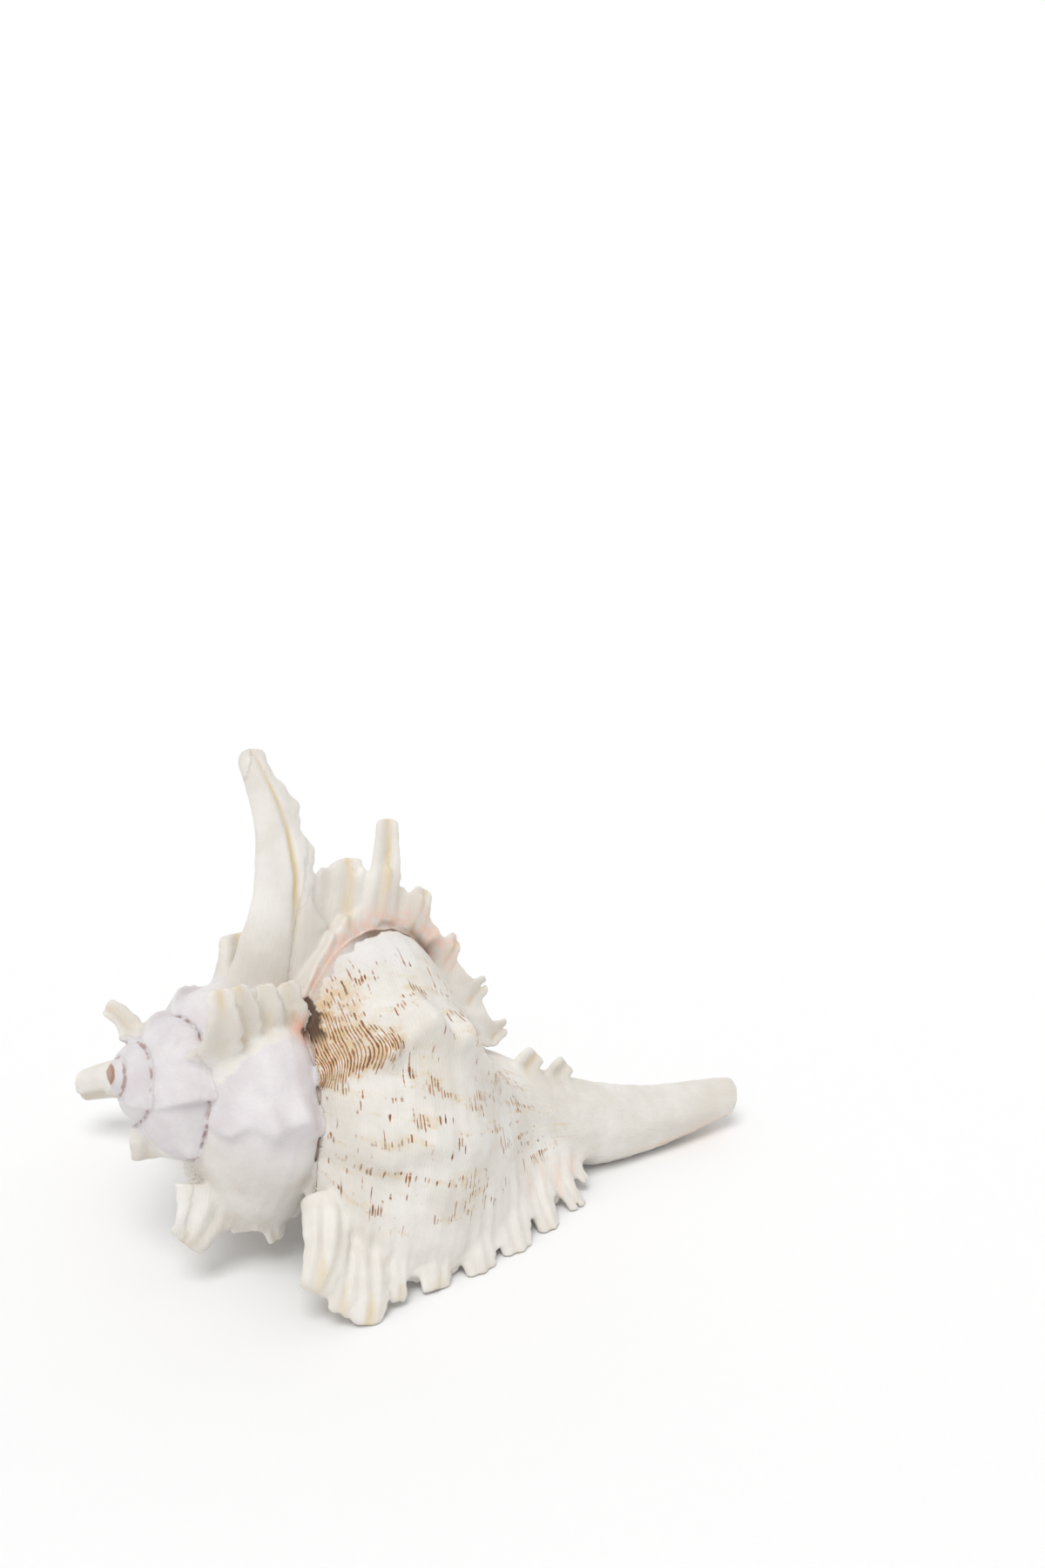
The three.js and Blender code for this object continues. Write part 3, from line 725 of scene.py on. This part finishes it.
def seam_distances(w, rho, phi):
    """Distance to the nearest seam, and to the seam of the last whorl."""
    seam = np.full(len(w), 50.0)
    last_seam = seam.copy()
    line_t = np.linspace(FIRST_T + 1.0, 0, 3000)
    line_w, line_rho = seam_line(line_t)
    for k in range(WHORLS):
        t = -(phi - LIP_PHI) / 360 - k
        on_line = (t < 0.0) & (t > line_t[0])
        gap = np.hypot(w - np.interp(t, line_t, line_w), rho - np.interp(t, line_t, line_rho))
        seam = np.where(on_line, np.minimum(seam, gap), seam)
        if k == 0:
            last_seam = np.where(on_line, gap, last_seam)
    return seam, last_seam


def foot_distance(turn, row, rho):
    """Distance past the foot of the upper old lip."""
    foot = (turn - foot_turn(row)) * 2 * math.pi * rho
    return np.where((row > -0.1) & (row < 1.5) & (np.abs(foot) < 20), foot, 20.0)


def frond_places(points, w, rho, phi):
    """How far up its frond each point lies, and how much it lies in the frond's slit."""
    spine, groove = np.zeros(len(points)), np.zeros(len(points))
    nearest = np.full(len(points), 1e9)
    s = np.linspace(0, 1, 41)
    for number, (_, _, root_half, tip_half, thick) in enumerate(FRONDS):
        line_w, line_rho, line_phi = frond_line(number, s)
        line = place(line_w, line_rho, line_phi)
        reach = root_half * 1.2
        low, high = line.min(0) - reach, line.max(0) + reach
        close = np.where(((points > low) & (points < high)).all(1))[0]
        if not len(close):
            continue
        gap = np.linalg.norm(points[close][:, None, :] - line[None], axis=2)
        at = gap.argmin(1)
        share = s[at]
        half = root_half + (tip_half - root_half) * np.sqrt(share)
        off = gap.min(1) / half
        better = (off < nearest[close]) & (off < 1.15)
        pick = close[better]
        nearest[pick] = off[better]
        spine[pick] = share[better]
        through = np.radians(phi[close] - line_phi[at] + 180) % (2 * math.pi) - math.pi
        through = through * rho[close]
        slope_w, slope_rho = np.gradient(line_w, s)[at], np.gradient(line_rho, s)[at]
        x = (w[close] - line_w[at]) * slope_rho - (rho[close] - line_rho[at]) * slope_w
        x /= np.hypot(slope_w, slope_rho) * half
        wide, strong = (0.08, 1.0) if number == BIG_SPINE else (0.30, 0.7)
        slit = strong * np.exp(-((x - slit_place(number, share)) / wide) ** 2)
        slit *= np.clip((0.28 * thick - through) / 0.5, 0, 1)
        slit *= np.clip((share - 0.2) / 0.2, 0, 1)
        groove[pick] = slit[better]
    return spine, groove


def mark(mesh, field):
    """Writes where each point lies on the whorl and on its frond."""
    co = np.zeros(len(mesh.vertices) * 3)
    mesh.vertices.foreach_get("co", co)
    points = co.reshape(-1, 3) * 1000
    w, rho, phi = coiling(points)
    turn, row, lift, inside = nearest_whorl(w, rho, phi)
    seam, last_seam = seam_distances(w, rho, phi)
    spine, groove = frond_places(points, w, rho, phi)
    for name, values in [("turn", turn), ("row", row), ("lift", lift), ("inside", inside),
                         ("seam", seam), ("last seam", last_seam),
                         ("foot", foot_distance(turn, row, rho)), ("spine", spine),
                         ("groove", groove), ("crease", field.crowding(points, 2.2)),
                         ("rho", rho), ("cord", girth(row) / CORD_PITCH)]:
        attribute(mesh, name, values)


field = build_field()
shell = mesh_from(*field.surface(), "murex_shell_look")
drop_crumbs(shell.data)
thin_out(shell, MOST_TRIANGLES)
shell.data.shade_smooth()
mark(shell.data, field)


# ---- material ------------------------------------------------------------------------------
def srgb(r, g, b):
    return tuple((c / 12.92 if c <= 0.04045 else ((c + 0.055) / 1.055) ** 2.4)
                 for c in (r / 255, g / 255, b / 255)) + (1.0,)


CREAM = srgb(222, 216, 207), srgb(237, 234, 228)
SPIRE_WHITE = srgb(217, 211, 213), srgb(231, 227, 228)
COOL_WHITE = srgb(226, 224, 228)
DASH_BROWN = srgb(172, 104, 40), srgb(112, 58, 22)
SEAM_TAN, ROW_TAN, CREASE_SHADE_TAN = srgb(216, 180, 122), srgb(220, 198, 154), srgb(206, 178, 150)
LIP_PINK, ROOT_PINK, SEAM_PINK = srgb(240, 196, 176), srgb(240, 184, 160), srgb(156, 104, 88)
GAP_STAIN_SHADE, CREVICE_STAIN_SHADE, APEX_BROWN = srgb(84, 62, 48), srgb(104, 80, 62), srgb(176, 128, 92)
SLIT_YELLOW, MOUTH_ORANGE = srgb(214, 184, 116), srgb(240, 214, 196)


class Nodes:
    """Short names for the shader nodes used here."""

    def __init__(self, material):
        material.use_nodes = True
        self.tree = material.node_tree
        self.bsdf = self.tree.nodes["Principled BSDF"]

    def put(self, socket, value):
        if hasattr(value, "is_linked") or hasattr(value, "links"):
            self.tree.links.new(value, socket)
        else:
            socket.default_value = value

    def math(self, op, a, b=0.0, c=0.0):
        n = self.tree.nodes.new("ShaderNodeMath")
        n.operation = op
        for i, v in enumerate((a, b, c)):
            self.put(n.inputs[i], v)
        return n.outputs[0]

    def attr(self, name):
        n = self.tree.nodes.new("ShaderNodeAttribute")
        n.attribute_name = name
        return n.outputs["Fac"]

    def band(self, value, low, high, to_low=0.0, to_high=1.0):
        """value rescaled from low..high to to_low..to_high, held at the ends, eased."""
        n = self.tree.nodes.new("ShaderNodeMapRange")
        n.interpolation_type = "SMOOTHSTEP"
        for name, v in (("Value", value), ("From Min", low), ("From Max", high),
                        ("To Min", to_low), ("To Max", to_high)):
            self.put(n.inputs[name], v)
        return n.outputs["Result"]

    def fade(self, value, low, high):
        """1 up to low and 0 from high on."""
        return self.band(value, low, high, 1.0, 0.0)

    def between(self, value, start, full, end, gone):
        """Rises from start to full and falls from end to gone."""
        return self.times(self.band(value, start, full), self.fade(value, end, gone))

    def noise(self, vector, scale, detail=4.0, rough=0.55):
        n = self.tree.nodes.new("ShaderNodeTexNoise")
        self.put(n.inputs["Vector"], vector)
        self.put(n.inputs["Scale"], scale)
        self.put(n.inputs["Detail"], detail)
        self.put(n.inputs["Roughness"], rough)
        return n.outputs["Fac"]

    def vector(self, x, y, z=0.0):
        n = self.tree.nodes.new("ShaderNodeCombineXYZ")
        for i, v in enumerate((x, y, z)):
            self.put(n.inputs[i], v)
        return n.outputs[0]

    def mix(self, share, a, b):
        n = self.tree.nodes.new("ShaderNodeMix")
        n.data_type = "RGBA"
        self.put(n.inputs[0], share)
        self.put(n.inputs[6], a)
        self.put(n.inputs[7], b)
        return n.outputs[2]

    def times(self, *values):
        out = values[0]
        for v in values[1:]:
            out = self.math("MULTIPLY", out, v)
        return out


class ShellNodes(Nodes):
    """The shell's attributes, and the noises that several parts of its colour share."""

    def __init__(self, material):
        super().__init__(material)
        self.turn, self.row, self.spine = self.attr("turn"), self.attr("row"), self.attr("spine")
        self.groove, self.crease = self.attr("groove"), self.attr("crease")
        self.inside, self.lift = self.attr("inside"), self.attr("lift")
        self.seam, self.last_seam = self.attr("seam"), self.attr("last seam")
        self.foot, self.rho, self.cord = self.attr("foot"), self.attr("rho"), self.attr("cord")
        self.here = self.tree.nodes.new("ShaderNodeTexCoord").outputs["Object"]
        self.cloud = self.noise(self.here, 60.0, 5.0)
        self.fine = self.noise(self.here, 420.0, 3.0)

    def streaks(self, along, number, apart, offset=0.0, detail=4.0):
        """Noise drawn out along the turns, with a draw of its own for each number."""
        where = self.vector(self.math("MULTIPLY", self.turn, along),
                            self.math("MULTIPLY", number, apart), offset)
        return self.noise(where, 1.0, detail)


def plain_colour(n):
    """Cream last whorl, cooler spire."""
    white = n.mix(n.band(n.cloud, 0.35, 0.7), *CREAM)
    spire = n.mix(n.band(n.noise(n.here, 90.0), 0.3, 0.7), *SPIRE_WHITE)
    old = n.times(n.fade(n.turn, -1.12, -0.98), n.fade(n.spine, 0.0, 0.2),
                  n.fade(n.lift, 1.0, 3.0))
    cool = n.times(n.between(n.turn, -0.36, -0.345, -0.315, -0.285),
                   n.fade(n.row, 0.55, 0.9), n.fade(n.spine, 0.0, 0.1), 0.35)
    return n.mix(cool, n.mix(old, white, spire), COOL_WHITE)


def cord_pattern(n):
    """How much a point lies on a fine spiral cord, and that cord's number."""
    wander = n.streaks(30.0, n.cord, 0.3)
    number = n.math("MULTIPLY", n.math("MULTIPLY_ADD", wander, 0.8, n.cord), 1.9)
    cell = n.math("FLOOR", n.math("ADD", number, 0.5))
    thick = n.band(n.streaks(70.0, cell, 3.7, 2.0), 0.45, 0.7, 0.0, 0.25)
    off_cord = n.math("SUBTRACT", n.math("PINGPONG", number, 0.5), thick)
    return n.fade(off_cord, 0.08, 0.26), cell


def dashes(n, colour, on_cord, cell):
    """Brown dashes along the cords of the last whorl, thick beside the seam."""
    shared = n.streaks(60.0, n.row, 3.0, 5.0)
    own = n.streaks(50.0, cell, 2.57, 0.0, 1.5)
    dash = n.math("MULTIPLY_ADD", shared, 0.55, n.math("MULTIPLY", own, 0.60))

    # The thick patch reaches from the seam down to the trough under the first fold; in the trough
    # its denser dashes and tan are partly painted shade under the fold.
    ragged = n.streaks(40.0, cell, 1.37, 4.0)
    slant = n.math("MULTIPLY_ADD", n.row, 0.10, n.turn)
    slant = n.math("MULTIPLY_ADD", ragged, 0.030, slant)
    far = n.math("MULTIPLY_ADD", n.noise(n.here, 150.0), 0.20, n.row)
    beside = n.times(n.fade(far, 0.18, 0.46), n.between(slant, -0.29, -0.25, -0.175, -0.150))
    trough = n.times(n.fade(far, 0.40, 0.56), n.between(slant, -0.190, -0.172, -0.160, -0.148))
    least = n.math("MULTIPLY_ADD", beside, -0.15, 0.635)
    least = n.math("MULTIPLY_ADD", trough, -0.13, least)

    short = n.band(n.math("SUBTRACT", dash, least), 0.0, 0.06)
    drawn_out = n.band(n.streaks(14.0, cell, 1.93, 9.0, 1.0), 0.70, 0.74)
    front = n.between(n.turn, -0.325, -0.30, -0.055, -0.03)
    behind = n.times(n.between(n.turn, -0.94, -0.90, -0.42, -0.39), 0.6)
    on_whorl = n.fade(n.lift, 1.5, 3.0)
    marks = n.times(on_cord, n.math("MAXIMUM", short, drawn_out),
                    n.math("MAXIMUM", front, behind), on_whorl, n.fade(n.spine, 0.02, 0.12),
                    n.fade(n.row, 1.5, 1.8), n.band(n.cloud, 0.25, 0.55, 0.55, 1.0))

    # Tan ground beside the seam and in the trough; in the trough it is partly painted shade.
    patch = n.times(n.math("MAXIMUM", beside, trough), n.band(n.fine, 0.34, 0.58), 0.75)
    rows = n.times(n.band(shared, 0.50, 0.66), n.between(n.turn, -0.325, -0.30, -0.06, -0.03),
                   on_whorl, n.band(n.fine, 0.35, 0.6), 0.55)
    colour = n.mix(patch, colour, SEAM_TAN)
    colour = n.mix(rows, colour, ROW_TAN)
    return n.mix(marks, colour, n.mix(n.band(n.fine, 0.4, 0.6), *DASH_BROWN))


def stains_and_shade(n, colour):
    """Pink on the upper old lip, reddish seam lines, brown stain and painted shade in seam gaps and
    crevices.
    """
    lip = n.times(n.between(n.foot, -4.0, -0.5, 0.6, 2.0), n.band(n.fine, 0.3, 0.6),
                  n.fade(n.row, 1.1, 1.3), n.band(n.rho, 47.0, 52.0, 1.0, 0.25), 0.6)
    colour = n.mix(lip, colour, LIP_PINK)
    root = n.times(n.band(n.last_seam, 7.0, 1.0), n.between(n.turn, -1.40, -1.33, -1.26, -1.22),
                   n.band(n.cloud, 0.3, 0.55, 0.5, 1.0))
    colour = n.mix(root, colour, ROOT_PINK)

    jag = n.math("MULTIPLY_ADD", n.noise(n.here, 380.0, 4.0), 2.4, -1.2)
    line = n.times(n.band(n.math("ADD", n.seam, jag), 0.55, 0.05),
                   n.band(n.noise(n.here, 160.0), 0.36, 0.52), 0.65)
    colour = n.mix(line, colour, SEAM_PINK)

    # Brown stain with painted shade in the dark gaps at the seam: one on the turn before the last,
    # one just past the upper old lip.
    upper = n.times(n.band(n.math("ADD", n.last_seam, jag), 2.2, 0.8),
                    n.between(n.turn, -1.36, -1.33, -1.26, -1.24))
    torn_seam = n.math("MULTIPLY_ADD", n.noise(n.here, 260.0, 3.0), 5.0,
                       n.math("ADD", n.last_seam, -2.5))
    lower = n.times(n.band(torn_seam, 5.9, 5.2), n.between(n.turn, -0.345, -0.325, -0.25, -0.225))
    colour = n.mix(n.times(n.math("MAXIMUM", upper, lower), 0.95), colour, GAP_STAIN_SHADE)

    # Brown stain with painted shade in the groove along the foot of the upper old lip, stronger
    # away from the seam.
    torn = n.math("MULTIPLY_ADD", n.noise(n.here, 230.0, 3.0), 6.0, -3.0)
    under = n.times(n.band(n.foot, -0.6, 0.2), n.fade(n.math("ADD", n.foot, torn), 2.3, 3.0),
                    n.fade(n.row, 0.9, 1.1), n.band(n.row, 0.25, 0.50, 0.22, 0.92))
    return n.mix(under, colour, CREVICE_STAIN_SHADE)


def hollows(n, colour):
    """Yellow in the slits, pale orange in the mouth, painted tan shade in creases, brown at the
    very tip.
    """
    slit = n.times(n.groove, n.band(n.cloud, 0.3, 0.6), 0.75)
    colour = n.mix(slit, colour, SLIT_YELLOW)
    colour = n.mix(n.times(n.inside, 0.8), colour, MOUTH_ORANGE)
    # Painted shade: tan where the shell crowds round a point, in creases.
    colour = n.mix(n.times(n.band(n.crease, 0.66, 0.86), 0.45), colour, CREASE_SHADE_TAN)
    return n.mix(n.times(n.band(n.turn, -4.6, -5.0), 0.7), colour, APEX_BROWN)


def fine_relief(n, on_cord):
    """Growth lines and fine cords, as a bump."""
    along = n.math("MULTIPLY", n.turn, 100.0)
    down = n.math("MULTIPLY", n.row, 40.0)
    lines = n.noise(n.vector(along, n.math("MULTIPLY", down, 0.25)), 1.6, 4.0, 0.6)
    grain = n.noise(n.vector(n.math("MULTIPLY", along, 0.35), down), 2.2, 4.0, 0.6)
    height = n.math("MULTIPLY_ADD", lines, 0.6, n.math("MULTIPLY", grain, 0.5))
    plain = n.times(n.between(n.turn, -1.1, -0.9, -0.09, -0.04), n.fade(n.spine, 0.0, 0.1))
    height = n.math("ADD", height, n.times(on_cord, plain, 0.12))
    bump = n.tree.nodes.new("ShaderNodeBump")
    bump.inputs["Strength"].default_value = 0.5
    bump.inputs["Distance"].default_value = 0.0006
    n.put(bump.inputs["Height"], height)
    return bump.outputs[0]


def shell_material():
    material = bpy.data.materials.new("murex shell")
    n = ShellNodes(material)
    on_cord, cell = cord_pattern(n)
    colour = dashes(n, plain_colour(n), on_cord, cell)
    colour = hollows(n, stains_and_shade(n, colour))
    n.put(n.bsdf.inputs["Base Color"], colour)
    n.put(n.bsdf.inputs["Roughness"], n.band(n.inside, 0.2, 0.7, 0.50, 0.22))
    n.put(n.bsdf.inputs["Normal"], fine_relief(n, on_cord))
    n.bsdf.inputs["Subsurface Weight"].default_value = 0.10
    n.bsdf.inputs["Subsurface Radius"].default_value = (1.0, 0.7, 0.5)
    n.bsdf.inputs["Subsurface Scale"].default_value = 0.0015
    return material


shell.data.materials.clear()
shell.data.materials.append(shell_material())
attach(shell, "root")
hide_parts("murex_shell")


# ---- stage (metres) ------------------------------------------------------------------------
FLOOR_HALF, FLOOR_FRONT, FLOOR_BACK, FLOOR_DROP = 5.0, -4.0, 1.6, 0.0002
CURVE_RADIUS, BACKDROP_TOP = 0.8, 4.0
WORLD_STRENGTH = 0.62
KEY_DIRECTION, KEY_SPREAD, KEY_POWER = (0.10, 0.50, -0.90), 30, 1.45
EYE = (APEX + np.array([100.0, -434.41, 213.65])) / 1000
EYE_DOWN, LENS = 18, 46.0


def sweep():
    """A pale floor that curves up behind into a plain backdrop."""
    profile = [(FLOOR_FRONT, 0.0), (FLOOR_BACK, 0.0)]
    profile += [(FLOOR_BACK + CURVE_RADIUS * math.sin(a), CURVE_RADIUS * (1 - math.cos(a)))
                for a in np.linspace(0.1, math.pi / 2, 16)]
    profile.append((FLOOR_BACK + CURVE_RADIUS, BACKDROP_TOP))
    points = [(x, y, z - FLOOR_DROP) for y, z in profile for x in (-FLOOR_HALF, FLOOR_HALF)]
    faces = [(2 * k, 2 * k + 1, 2 * k + 3, 2 * k + 2) for k in range(len(profile) - 1)]
    mesh = bpy.data.meshes.new("floor")
    mesh.from_pydata(points, [], faces)
    mesh.shade_smooth()
    obj = bpy.data.objects.new("floor", mesh)
    bpy.context.scene.collection.objects.link(obj)
    return obj


def floor_material():
    material = bpy.data.materials.new("floor white")
    material.use_nodes = True
    sockets = material.node_tree.nodes["Principled BSDF"].inputs
    sockets["Base Color"].default_value = (0.92, 0.92, 0.92, 1)
    sockets["Roughness"].default_value = 0.9
    sockets["Specular IOR Level"].default_value = 0.1
    return material


def white_world(strength):
    world = bpy.data.worlds.new("studio")
    world.use_nodes = True
    sockets = world.node_tree.nodes["Background"].inputs
    sockets["Color"].default_value = (1.0, 1.0, 1.0, 1)
    sockets["Strength"].default_value = strength
    return world


def soft_light(name, towards, spread, power):
    """A wide distant light shining along the given direction."""
    lamp = bpy.data.lights.new(name, "SUN")
    lamp.angle = math.radians(spread)
    lamp.energy = power
    obj = bpy.data.objects.new(name, lamp)
    obj.rotation_euler = Vector(towards).to_track_quat("-Z", "Y").to_euler()
    bpy.context.scene.collection.objects.link(obj)


def front_camera():
    camera = bpy.data.cameras.new("front view")
    camera.lens = LENS
    camera.clip_start = 0.01
    obj = bpy.data.objects.new("front view", camera)
    obj.location = tuple(EYE)
    obj.rotation_euler = (math.radians(90 - EYE_DOWN), 0, 0)
    bpy.context.scene.collection.objects.link(obj)
    return obj


floor = sweep()
floor.data.materials.append(floor_material())
bpy.context.scene.world = white_world(WORLD_STRENGTH)
soft_light("key", KEY_DIRECTION, KEY_SPREAD, KEY_POWER)
bpy.context.scene.view_settings.view_transform = "Standard"
bpy.context.scene.camera = front_camera()
